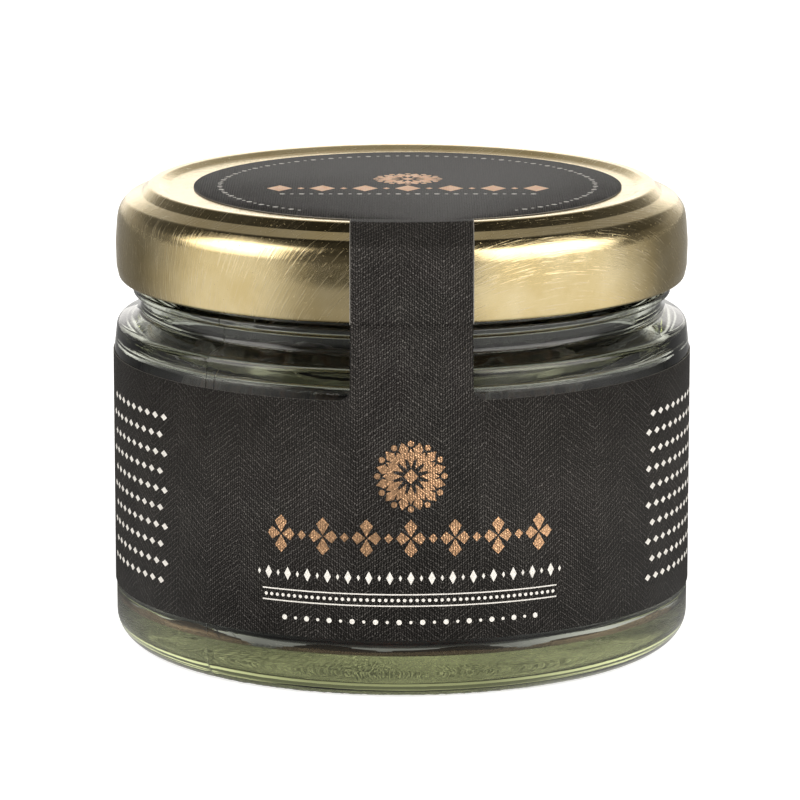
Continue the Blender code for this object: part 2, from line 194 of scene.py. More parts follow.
def turned(points, steps):
    """A bmesh of the profile turned about Z: a grid rolled up, its seam and its poles merged."""
    bm = bmesh.new()
    rows = len(points) - 1
    verts = bmesh.ops.create_grid(bm, x_segments=steps, y_segments=rows, size=1.0)["verts"]
    for vert in verts:
        column = round((vert.co.x + 1) / 2 * steps) % steps
        point = points[round((vert.co.y + 1) / 2 * rows)]
        vert.co = polar(point.x, FULL_TURN * column / steps, point.y)
    bmesh.ops.remove_doubles(bm, verts=verts, dist=0.0005 * MM)
    bmesh.ops.recalc_face_normals(bm, faces=bm.faces[:])
    return bm


def shaded_object(bm, name, *finishes, sharp=None):
    """The bmesh as a smooth object in the scene, sharp where it turns by more than that many degrees."""
    mesh = bpy.data.meshes.new(name)
    bm.to_mesh(mesh)
    bm.free()
    for finish in finishes:
        mesh.materials.append(finish)
    mesh.shade_smooth()
    if sharp is not None:
        mesh.set_sharp_from_angle(angle=math.radians(sharp))
    item = bpy.data.objects.new(name, mesh)
    bpy.context.scene.collection.objects.link(item)
    return item


def finished(bm, name, body, slot, nodes, *finishes, sharp=None):
    """The bmesh as a shaded object that rides on its body and stands for its nodes."""
    item = shaded_object(bm, name, *finishes, sharp=sharp)
    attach(item, body)
    if nodes:
        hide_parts(*nodes)
    return item


# Shader node groups and helpers

def feed(tree, node, values):
    """Sets the node's inputs, by name or number, and links those whose value is a socket."""
    for key, value in values.items():
        socket = node.inputs[key]
        if isinstance(value, bpy.types.NodeSocket):
            tree.links.new(value, socket)
        else:
            socket.default_value = (*value[:3], 1.0) if socket.type == "RGBA" else value
    return node


def add_node(tree, kind, *numbered, settings=None, **named):
    """A shader node with its settings, and its inputs by number or by name."""
    node = tree.nodes.new("ShaderNode" + kind)
    for name, value in (settings or {}).items():
        setattr(node, name, value)
    return feed(tree, node, {**dict(enumerate(numbered)), **named})


def calc(tree, operation, *values):
    """The result of a Math node on the values."""
    return add_node(tree, "Math", *values, settings={"operation": operation}).outputs[0]


def times(tree, first, second):
    return calc(tree, "MULTIPLY", first, second)


def times_add(tree, value, factor, addend):
    return calc(tree, "MULTIPLY_ADD", value, factor, addend)


def vector_calc(tree, operation, *values):
    """The vector that a Vector Math node gives, or the length."""
    node = add_node(tree, "VectorMath", *values, settings={"operation": operation})
    return node.outputs["Value" if operation == "LENGTH" else "Vector"]


def ramp(tree, value, low, high, out_low=0.0, out_high=1.0):
    """The value mapped from low..high to out_low..out_high, held at both ends."""
    return add_node(tree, "MapRange", value, low, high, out_low, out_high).outputs[0]


def half_wave(tree, wave, phase):
    """The sine or cosine of the phase, brought between 0 and 1."""
    return times_add(tree, calc(tree, wave, phase), 0.5, 0.5)


def blend_colour(tree, share, first, second):
    """The colour between two colours or colour sockets."""
    node = add_node(tree, "Mix", settings={"data_type": "RGBA"})
    return feed(tree, node, {0: share, 6: first, 7: second}).outputs[2]


def noise_value(tree, place, scale, detail, roughness=0.5):
    return add_node(tree, "TexNoise", Vector=place, Scale=scale, Detail=detail, Roughness=roughness).outputs[0]


def bump(tree, height, depth):
    """The normal of a surface with that relief."""
    return add_node(tree, "Bump", Height=height, Strength=1.0, Distance=depth).outputs[0]


def object_place(tree):
    return add_node(tree, "TexCoord").outputs["Object"]


def map_place(tree, name):
    return add_node(tree, "UVMap", settings={"uv_map": name}).outputs[0]


def new_material(name):
    """A material with its tree and its Principled shader."""
    finish = bpy.data.materials.new(name)
    finish.use_nodes = True
    tree = finish.node_tree
    return finish, tree, tree.nodes["Principled BSDF"]


def new_group(name, inputs, outputs):
    """A group with a Vector, float inputs and float outputs: its tree, what it is given, and its output node."""
    group = bpy.data.node_groups.new(name, "ShaderNodeTree")
    group.interface.new_socket("Vector", in_out="INPUT", socket_type="NodeSocketVector")
    for label, value in inputs.items():
        group.interface.new_socket(label, in_out="INPUT", socket_type="NodeSocketFloat").default_value = value
    for label in outputs:
        group.interface.new_socket(label, in_out="OUTPUT", socket_type="NodeSocketFloat")
    return group, group.nodes.new("NodeGroupInput").outputs, group.nodes.new("NodeGroupOutput")


def speckle_group():
    """Fine even grain: a height and a mask from noise at one scale, in metres."""
    group, given, result = new_group("Speckle", {"Size": 0.5 * MM}, ("Height", "Mask"))
    grain = noise_value(group, given["Vector"], calc(group, "DIVIDE", 1.0, given["Size"]), 3.0, 0.6)
    feed(group, result, {"Height": grain, "Mask": ramp(group, grain, 0.42, 0.62)})


def brushed_group():
    """Straight grain of rolled sheet: long thin streaks along one direction of a flat map."""
    group, given, result = new_group(
        "Rolled Grain", {"Angle": 0.0, "Pitch": 0.1 * MM, "Stretch": 40.0}, ("Height", "Scratch"))
    turn = add_node(group, "VectorRotate", settings={"rotation_type": "Z_AXIS"}, Vector=given["Vector"],
                    Angle=given["Angle"])
    parts = add_node(group, "SeparateXYZ", turn.outputs[0]).outputs
    across = calc(group, "DIVIDE", parts["Y"], given["Pitch"])
    along = calc(group, "DIVIDE", calc(group, "DIVIDE", parts["X"], given["Pitch"]), given["Stretch"])
    flat = add_node(group, "CombineXYZ", along, across).outputs[0]
    rare = noise_value(group, vector_calc(group, "MULTIPLY", flat, (0.8, 1.3, 1.0)), 1.0, 2.0)
    feed(group, result, {"Height": noise_value(group, flat, 1.0, 4.0, 0.65), "Scratch": ramp(group, rare, 0.56, 0.68)})


def chevron_group():
    """Embossed herringbone: slanting ribs that turn at each column's edge, broken up by upright threads, with a mask of
    painted glints on the rib tops.
    """
    group, given, result = new_group(
        "Chevron Emboss", {"Column": 4.7 * MM, "Rib": 1.18 * MM, "Thread": 0.28 * MM}, ("Height", "Painted Glint"))
    bent = given["Vector"]
    for scale, detail, reach in ((330.0, 2.0, (0.12, 0.18, 0.0)), (2400.0, 1.0, (0.34, 0.38, 0.0))):
        wander = add_node(group, "TexNoise", Vector=given["Vector"], Scale=scale, Detail=detail)
        bent = vector_calc(group, "MULTIPLY_ADD", wander.outputs["Color"], Vector(reach) * MM, bent)
    parts = add_node(group, "SeparateXYZ", bent).outputs
    zigzag = calc(group, "PINGPONG", parts["X"], given["Column"])
    slant = times_add(group, zigzag, 0.72, parts["Y"])
    phase = times(group, calc(group, "DIVIDE", slant, given["Rib"]), FULL_TURN)
    strong = half_wave(group, "COSINE", phase)
    double = half_wave(group, "COSINE", times(group, phase, 2.0))
    close = half_wave(group, "COSINE", times(group, phase, 4.0))
    rib = times(group, calc(group, "POWER", double, 1.6), times_add(group, strong, 0.25, 0.35))
    rib = times_add(group, close, 0.5, rib)
    turns = calc(group, "DIVIDE", parts["X"], given["Thread"])
    thread = half_wave(group, "SINE", times(group, turns, FULL_TURN))
    strength = ramp(group, noise_value(group, given["Vector"], 240.0, 1.0), 0.35, 0.65, 0.70, 1.0)
    woven = times_add(group, thread, 0.35, times(group, rib, times_add(group, thread, 0.75, 0.25)))
    # painted glint: dots on the rib tops where the threads cross, made light in the paper's colour to stand for
    # highlights off the emboss
    dots = times(group, times(group, times_add(group, thread, 0.8, 0.2), rib), strength)
    feed(group, result, {"Height": times(group, woven, strength), "Painted Glint": ramp(group, dots, 0.14, 0.70)})


GROUP_MAKERS = {"Speckle": speckle_group, "Rolled Grain": brushed_group, "Chevron Emboss": chevron_group}


def grouped(tree, name, **values):
    """What the shared group of that name puts out, placed in a material; it is made when first asked for."""
    if name not in bpy.data.node_groups:
        GROUP_MAKERS[name]()
    return add_node(tree, "Group", settings={"node_tree": bpy.data.node_groups[name]}, **values).outputs


def speckle(tree, place, size):
    return grouped(tree, "Speckle", Vector=place, Size=size)


def paper_finish(name, colour, pale=False):
    """Printed label paper, embossed, with painted shade in its hollows and painted glints on its rib tops; pale is the
    same paper without the black.
    """
    finish, tree, shader = new_material(name)
    place = map_place(tree, "Flat")
    emboss = grouped(tree, "Chevron Emboss", Vector=place)
    fibre = speckle(tree, place, 0.16 * MM)["Height"]
    # dark sets the painted shade in the emboss's hollows; lift and veil set how light the painted glints are
    dark, lift, veil = (0.9, 1.15, 0.0) if pale else (0.25, 4.0, 0.045)
    # painted shade: the colour is darkened in the emboss's hollows and between the raised fibres, and left full on the
    # raised parts
    lit_share = times(tree, ramp(tree, fibre, 0.34, 0.50), ramp(tree, emboss["Height"], 0.10, 0.50, 0.1, 1.0))
    base = blend_colour(tree, lit_share, [part * dark for part in colour], colour)
    # painted glint: the rib-top dots, broken by the fibre, lightened in the base colour as highlights off the emboss
    painted_glint = times(tree, emboss["Painted Glint"], ramp(tree, fibre, 0.42, 0.60, 0.1, 1.0))
    feed(tree, shader, {
        "Base Color": blend_colour(tree, painted_glint, base, [min(1.0, part * lift + veil) for part in colour]),
        "Roughness": ramp(tree, fibre, 0.3, 0.7, 0.42, 0.58),
        "Normal": bump(tree, times_add(tree, fibre, 0.8, emboss["Height"]), 0.10 * MM),
        "Specular IOR Level": 0.17})
    return finish


def foil_finish(colour):
    """Hot-stamped copper foil that takes the emboss of the paper beneath."""
    finish, tree, shader = new_material("foil_copper")
    place = map_place(tree, "Flat")
    mottle = speckle(tree, place, 0.9 * MM)
    feed(tree, shader, {
        "Base Color": blend_colour(tree, mottle["Height"], [part * 0.72 for part in colour], colour),
        "Metallic": 1.0,
        "Roughness": ramp(tree, mottle["Mask"], 0.0, 1.0, 0.30, 0.46),
        "Normal": bump(tree, grouped(tree, "Chevron Emboss", Vector=place)["Height"], 0.06 * MM)})
    return finish


def gold_finish(colour):
    """Satin gold lacquer over rolled tinplate, its grain straight across the flat blank."""
    finish, tree, shader = new_material("gold_lacquer")
    place = map_place(tree, "Blank")
    grain = grouped(tree, "Rolled Grain", Vector=place, Angle=math.radians(-36), Pitch=0.14 * MM, Stretch=40.0)
    coarse = grouped(tree, "Rolled Grain", Vector=place, Angle=math.radians(-33), Pitch=0.24 * MM, Stretch=13.0)
    cloud = speckle(tree, place, 7.0 * MM)["Height"]
    dust = ramp(tree, speckle(tree, place, 0.30 * MM)["Height"], 0.67, 0.73)
    red, green, blue = colour
    shade = blend_colour(tree, ramp(tree, cloud, 0.35, 0.65), (red * 0.90, green * 0.86, blue * 0.74), colour)
    pale = (min(1.0, red * 1.1), min(1.0, green * 1.13), blue * 1.3)
    rough = times_add(tree, cloud, 0.04, times_add(tree, grain["Height"], 0.12, 0.08))
    rough = times_add(tree, coarse["Scratch"], 0.12, rough)
    height = times_add(tree, coarse["Height"], 1.6, grain["Height"])
    height = calc(tree, "ADD", dust, times_add(tree, coarse["Scratch"], 0.5, height))
    feed(tree, shader, {
        "Base Color": blend_colour(tree, times(tree, coarse["Scratch"], 0.35), shade, pale),
        "Metallic": 1.0,
        "Roughness": times_add(tree, dust, 0.5, rough),
        "Normal": bump(tree, height, 0.008 * MM)})
    return finish


def fill_clear(tree, colour, density):
    """Lets the clear stuff take on the colour where it is thick."""
    absorb = add_node(tree, "VolumeAbsorption", Color=colour, Density=density)
    tree.links.new(absorb.outputs[0], tree.nodes["Material Output"].inputs["Volume"])


def glass_finish(colour):
    """Clear soda-lime glass that turns green where it is thick, its underside stippled, a seam down each side."""
    finish, tree, shader = new_material("glass_green")
    place = object_place(tree)
    x, y, z = add_node(tree, "SeparateXYZ", place).outputs
    reach = vector_calc(tree, "LENGTH", add_node(tree, "CombineXYZ", x, y).outputs[0])
    under = times(tree, ramp(tree, z, 1.6 * MM, 2.2 * MM, 1.0, 0.0),
                  ramp(tree, reach, 28.0 * MM, 29.5 * MM, 1.0, 0.0))
    sweep = times(tree, calc(tree, "ARCTAN2", y, x), 28.0 * MM)
    knurl = add_node(tree, "CombineXYZ", sweep, calc(tree, "DIVIDE", reach, 4.0)).outputs[0]
    pits = times(tree, ramp(tree, speckle(tree, knurl, 0.30 * MM)["Height"], 0.48, 0.56, 1.0, 0.0),
                 ramp(tree, speckle(tree, place, 16.0 * MM)["Height"], 0.42, 0.56, 1.0, 0.5))
    across = times_add(tree, x, -math.sin(SEAM), times(tree, y, math.cos(SEAM)))
    seam = times(tree, ramp(tree, calc(tree, "ABSOLUTE", across), 0.02 * MM, 0.11 * MM, 0.11, 0.0),
                 ramp(tree, reach, 29.6 * MM, 30.0 * MM))
    height = times(tree, speckle(tree, knurl, 0.42 * MM)["Height"], under)
    height = times_add(tree, speckle(tree, place, 5.0 * MM)["Height"], 0.05, height)
    feed(tree, shader, {
        "Base Color": (0.97, 1.0, 0.96),
        "IOR": 1.52,
        "Transmission Weight": 1.0,
        "Roughness": times(tree, times(tree, pits, under), 0.5),
        "Normal": bump(tree, calc(tree, "ADD", height, seam), 0.60 * MM)})
    fill_clear(tree, colour, 60.0)
    return finish


def juice_finish(colour):
    """Dark brown clear liquid."""
    finish, tree, shader = new_material("juice_brown")
    feed(tree, shader, {"Base Color": (0.85, 0.62, 0.40), "Roughness": 0.0, "IOR": 1.34, "Transmission Weight": 1.0})
    fill_clear(tree, colour, 420.0)
    return finish


def truffle_finish():
    """Black-brown skin: darker on the warts' tops, redder in the furrows, moist in patches."""
    finish, tree, shader = new_material("truffle_skin")
    place = object_place(tree)
    wart = add_node(tree, "Attribute", settings={"attribute_name": "wart"}).outputs["Fac"]
    grit = speckle(tree, place, 0.35 * MM)
    broad = speckle(tree, place, 4.0 * MM)
    tops = blend_colour(tree, broad["Mask"], (0.018, 0.014, 0.012), (0.034, 0.026, 0.021))
    shade = blend_colour(tree, ramp(tree, wart, 0.0, 0.7), (0.075, 0.042, 0.027), tops)
    feed(tree, shader, {
        "Base Color": blend_colour(tree, times(tree, grit["Mask"], 0.35), shade, (0.10, 0.078, 0.06)),
        "Roughness": ramp(tree, grit["Height"], 0.3, 0.7, 0.38, 0.75),
        "Coat Weight": ramp(tree, broad["Height"], 0.4, 0.7, 0.0, 0.5),
        "Normal": bump(tree, grit["Height"], 0.12 * MM)})
    return finish


def gasket_finish():
    """Cream sealing compound, matt and faintly mottled."""
    finish, tree, shader = new_material("gasket_cream")
    mottle = speckle(tree, object_place(tree), 1.2 * MM)
    feed(tree, shader, {
        "Base Color": blend_colour(tree, mottle["Height"], (0.70, 0.66, 0.55), (0.84, 0.81, 0.72)),
        "Roughness": ramp(tree, mottle["Mask"], 0.0, 1.0, 0.5, 0.65)})
    return finish


# Glass jar: a length that isn't times MM is in plain millimetres, for the corners

THREADS = 4
THREAD_START = math.radians(-62)
THREAD_TURN_DOWN = math.radians(14)
THREAD_SPAN = math.radians(94)
THREAD_R = 31.35 * MM
THREAD_LOW_Z = 42.6 * MM
THREAD_Z = 44.75 * MM
THREAD_LEAD = 8.0 * MM
THREAD_HALF = 0.95 * MM
NECK_R = 30.1
NECK_LOW_Z = 41.75
BORE_R = 27.4
RIM_R = 28.9
FLOOR_R = 24.0
RING_IN_R = 26.6 * MM
RING_OUT_R = 31.6 * MM
SEAM_RISE = 0.10 * MM
SEAM_HALF = 0.42 * MM


def thread_rise(angle, z):
    """How far the thread stands out of the neck there, from 0 to 1."""
    rise = 0.0
    for start in range(THREADS):
        turn = (angle - THREAD_START - FULL_TURN * start / THREADS) % FULL_TURN
        if turn > THREAD_SPAN:
            continue
        if turn < THREAD_TURN_DOWN:
            drop = math.sin(turn / THREAD_TURN_DOWN * math.pi / 2)
            centre = THREAD_LOW_Z + (THREAD_Z - THREAD_LOW_Z) * drop
        else:
            centre = THREAD_Z + THREAD_LEAD * (turn - THREAD_TURN_DOWN) / FULL_TURN
        ends = smooth_share(min(turn, THREAD_SPAN - turn) / math.radians(9))
        rise = max(rise, ends * smooth_share(1.6 * (1 - abs(z - centre) / THREAD_HALF)))
    return rise


def glass_outside(jar):
    """Corners down the outside, from the rim to the middle of the underside."""
    top = jar.height / MM
    radius = jar.radius / MM
    return [
        (RIM_R, top, 0), (NECK_R, top, 0.9), (NECK_R, NECK_LOW_Z, 0.2), (31.0, 41.4, 0.35), (31.0, 40.7, 0.35),
        (NECK_R, 40.3, 0.2), (NECK_R, 38.6, 1.0), (radius - 0.35, 37.35, 1.05), (radius, 34.2, 6.0),
        (radius, 0.0, 4.75), (26.5, 0.0, 0.5), (24.8, 0.85, 1.5), (0.0, 1.5, 0)]


def glass_inside(jar):
    """Corners up the inside, from the middle of the floor to the rim."""
    inner = (jar.radius - jar.wall) / MM
    floor = jar.floor / MM
    top = jar.height / MM
    return [
        (0.0, floor + 0.5, 0), (inner / 2, floor + 0.4, 20), (FLOOR_R, floor - 0.3, 9),
        (inner, jar.floor_edge / MM, 3.4), (inner, 34.8, 0.9), (BORE_R, 37.2, 1.2), (BORE_R, top, 0.8),
        (RIM_R, top, 0)]


def glass_pieces(first, second):
    """How finely the outside is cut: enough for the threads and for the grains of the resting ring."""
    high = max(first.y, second.y)
    if high > 41.8 * MM and second.x > BORE_R * MM and first.x > 29.5 * MM:
        pitch = 0.24 * MM
    elif high < 1.3 * MM and min(first.x, second.x) > 25 * MM:
        pitch = 0.33 * MM
    else:
        return 1
    return math.ceil((second - first).length / pitch)


class TRUFFLEJAR_OT_glass(bpy.types.Operator):
    """Turns the glass jar, with its threads, bead, stippled ring and mould seams"""

    bl_idname = "trufflejar.glass"
    bl_label = "Glass jar"

    def execute(self, context):
        jar = context.scene.trufflejar_jar
        outside = split(rounded(glass_outside(jar), 40 * MM), glass_pieces)
        bm = turned(outside + rounded(glass_inside(jar), 2.2 * MM), jar.steps)
        self.shape(bm, jar)
        bmesh.ops.recalc_face_normals(bm, faces=bm.faces[:])
        finish = glass_finish(context.scene.trufflejar_finish.glass)
        finished(bm, "jar_glass_clear", "jar", "glass_green", ["jar_glass"], finish, sharp=50)
        return {"FINISHED"}

    def shape(self, bm, jar):
        """Moves points out for the threads, the stipple and the seams, and lets the inner faces waver."""
        for vert in bm.verts:
            radius = math.hypot(vert.co.x, vert.co.y)
            if radius < 1 * MM:
                continue
            angle = math.atan2(vert.co.y, vert.co.x)
            z = vert.co.z
            outward = Vector((vert.co.x, vert.co.y, 0)) / radius
            if radius > (NECK_R - 0.01) * MM and NECK_LOW_Z * MM < z < jar.height - 1.0 * MM:
                vert.co += outward * (THREAD_R - NECK_R * MM) * thread_rise(angle, z)
            elif RING_IN_R < radius < RING_OUT_R and z < 1.25 * MM:
                edge = smooth_share((radius - RING_IN_R) / (0.6 * MM))
                edge *= smooth_share((RING_OUT_R - radius) / (0.8 * MM))
                grain = noise.noise(Vector((vert.co.x, vert.co.y, 0)) / (0.36 * MM))
                vert.co.z += jar.stipple * edge * max(0.0, 0.35 + grain)
            elif 4 * MM < radius < jar.radius - 1.5 * MM and jar.floor_edge - 0.2 * MM < z < 40 * MM:
                drift = noise.noise(vert.co / (9 * MM) + Vector((3.1, 0.7, 1.9)))
                vert.co -= outward * jar.waver * drift
                vert.co.z += 0.5 * jar.waver * noise.noise(vert.co / (6 * MM))
            if radius > jar.radius - 0.7 * MM or (z < 5 * MM and radius > RING_OUT_R):
                for seam in (SEAM, SEAM + math.pi):
                    vert.co += outward * SEAM_RISE * smooth_share(1 - off_angle(angle, seam) * radius / SEAM_HALF)


# Lid, with plain millimetres again for the corners

LUG_FROM_THREAD = math.radians(22)
LUG_WIDTH = math.radians(12)
LUG_IN_R = 30.55 * MM
HEM_IN_R = 31.65
HEM_TOP_Z = 43.95
PANEL_Z = 52.55
CROWN_Z = 53.05
GASKET = (
    (27.75, 50.5, 0), (28.2, 51.5, 0.4), (29.7, 51.6, 0.3), (31.4, 50.9, 0.5), (32.35, 50.1, 0.3), (32.2, 49.2, 0.4),
    (30.6, 49.3, 0.3), (30.2, 50.2, 0.3), (28.2, 50.2, 0.3), (27.75, 50.5, 0))


def lid_corners(lid):
    """Corners over the outside of the lid from its middle, round the hem and back up the inside."""
    radius = lid.radius / MM
    sheet = lid.sheet / MM
    low = lid.low / MM
    return [
        (0.0, PANEL_Z, 0), (26.9, PANEL_Z, 1.2), (27.9, CROWN_Z, 0.8), (29.0, CROWN_Z, 0.55), (29.95, 52.1, 0.4),
        (31.7, 51.4, 0.9), (32.55, 50.35, 2.2), (radius - 0.20, 49.2, 4.0), (radius, 46.5, 9.0),
        (radius - 0.08, low + 1.4, 2.0), (radius - 0.38, low, 0.75), (31.75, low, 0.55), (HEM_IN_R, HEM_TOP_Z, 0.45),
        (radius - sheet - 0.1, HEM_TOP_Z, 0.25), (radius - sheet, 46.5, 9.0), (radius - 0.20 - sheet, 49.1, 3.8),
        (32.35, 50.25, 2.0), (31.55, 51.2, 0.8), (29.8, 51.85, 0.5), (28.9, 52.83, 0.5), (27.95, 52.83, 0.6),
        (26.95, PANEL_Z - sheet, 1.0), (0.0, PANEL_Z - sheet, 0)]


def wall_pieces(first, second):
    """Six pieces where the lid's wall stands upright, and one elsewhere."""
    return 6 if abs(first.x - second.x) < 0.2 * MM and (second - first).length > 1 * MM else 1


class TRUFFLEJAR_OT_lid(bpy.types.Operator):
    """Turns the lid from its profile, presses the lugs in, and maps the flat blank for its grain"""

    bl_idname = "trufflejar.lid"
    bl_label = "Lid and gasket"

    def execute(self, context):
        lid = context.scene.trufflejar_lid
        path = split(rounded(lid_corners(lid), 60 * MM), wall_pieces)
        bm = turned(path, lid.steps)
        self.map_blank(bm, path)
        self.press_lugs(bm, lid)
        finish = gold_finish(context.scene.trufflejar_finish.gold)
        finished(bm, "lid_gold", "lid", "gold_lacquer", ["lid"], finish, sharp=60)
        ring = turned(rounded(GASKET, 2 * MM), 192)
        finished(ring, "gasket_ring", "lid", "gasket_cream", ["lid_gasket"], gasket_finish(), sharp=60)
        return {"FINISHED"}

    def map_blank(self, bm, path):
        """Maps each point to its place on the flat round blank, by its way along the profile from the middle."""
        travelled = 0.0
        reach = {}
        for before, point in zip([path[0], *path], path):
            travelled += (point - before).length
            reach[round(point.x, 6), round(point.y, 6)] = travelled
        flat = bm.loops.layers.uv.new("Blank")
        for face in bm.faces:
            for loop in face.loops:
                co = loop.vert.co
                radius = math.hypot(co.x, co.y)
                way = reach.get((round(radius, 6), round(co.z, 6)), radius)
                loop[flat].uv = polar(way, math.atan2(co.y, co.x), 0).xy

    def press_lugs(self, bm, lid):
        """Moves the hem's inner face in under each thread."""
        for vert in bm.verts:
            radius = math.hypot(vert.co.x, vert.co.y)
            if not 31 * MM <= radius <= 31.9 * MM or vert.co.z > 44.2 * MM:
                continue
            depth = Vector((vert.co.x, vert.co.y, 0)) / radius * (HEM_IN_R * MM - LUG_IN_R)
            angle = math.atan2(vert.co.y, vert.co.x)
            for start in range(THREADS):
                off = off_angle(angle, THREAD_START + FULL_TURN * start / THREADS + LUG_FROM_THREAD)
                share = smooth_share((LUG_WIDTH / 2 - off) / math.radians(1.6))
                low = smooth_share((vert.co.z - lid.low) / (0.3 * MM))
                high = smooth_share((44.0 * MM - vert.co.z) / (0.2 * MM))
                vert.co -= depth * share * low * high


# Label

SKIRT_R = 33.0 * MM
LEAN_Z = 35.0 * MM
BEND_STEP = 1.1 * MM
CUT_EDGE = 0.09 * MM
TAB_FILLET = 1.45 * MM
TAB_SPARE = 1.0 * MM
TAB_CUTS = (35.2 * MM, 36.5 * MM, 38 * MM, 39.5 * MM, 41 * MM)
BACK_GAP = 0.9 * MM
STRIP_COLUMNS = 14
DISC_SIDES = 150
HAIR = 0.001 * MM


def band_point(along, z, lift=0.0):
    """A point of the flat label, wrapped round the jar, the tab leaning in to the lid's skirt."""
    radius = JAR_BOX[1].x + 0.03 * MM
    lean = smooth_share((z - LEAN_Z) / (LID_BOX[0].z - LEAN_Z)) * (radius - SKIRT_R)
    return polar(radius - lean + lift, FRONT + along / radius, z)


def slice_at(bm, place, across, **options):
    bmesh.ops.bisect_plane(bm, geom=bm.verts[:] + bm.edges[:] + bm.faces[:], dist=HAIR, plane_co=place,
                           plane_no=across, **options)


def cut_flat(outline, cuts_x=(), cuts_y=()):
    """A flat face of the outline in XY with a pale cut edge, sliced into a grid so that it can be bent."""
    bm = bmesh.new()
    bm.faces.new([bm.verts.new((x, y, 0.0)) for x, y in outline])
    rim = bmesh.ops.inset_region(bm, faces=bm.faces[:], thickness=CUT_EDGE, use_even_offset=True)["faces"]
    for face in rim:
        face.material_index = 1
    for axis, cuts in ((Vector((1, 0, 0)), cuts_x), (Vector((0, 1, 0)), cuts_y)):
        for place in cuts:
            slice_at(bm, axis * place, axis)
    return bm


def arc_points(x, y, radius, start, end, steps):
    """Points on an arc in degrees, ends included."""
    angles = [math.radians(start + (end - start) * step / steps) for step in range(steps + 1)]
    return [(x + radius * math.cos(angle), y + radius * math.sin(angle)) for angle in angles]


def map_flat(bm, place=None):
    """Stores each point's flat place, in metres, as the map called Flat."""
    flat = bm.loops.layers.uv.new("Flat")
    for face in bm.faces:
        for loop in face.loops:
            loop[flat].uv = place[loop.vert] if place else loop.vert.co.xy


def finished_sheet(bm, name, body, node, finishes, thickness, sharp):
    """The bent face as paper: facing out, thickened inwards, its back and cut edge in their own finishes."""
    bmesh.ops.recalc_face_normals(bm, faces=bm.faces[:])
    if sum(face.normal.dot(face.calc_center_median()) for face in bm.faces) < 0:
        bmesh.ops.reverse_faces(bm, faces=bm.faces[:])
    item = finished(bm, name, body, "label_paper", [node], *finishes, sharp=sharp)
    shell = item.modifiers.new("Paper", "SOLIDIFY")
    shell.thickness = thickness
    shell.offset = -1.0
    shell.use_even_offset = False
    shell.material_offset = 2
    shell.material_offset_rim = 1


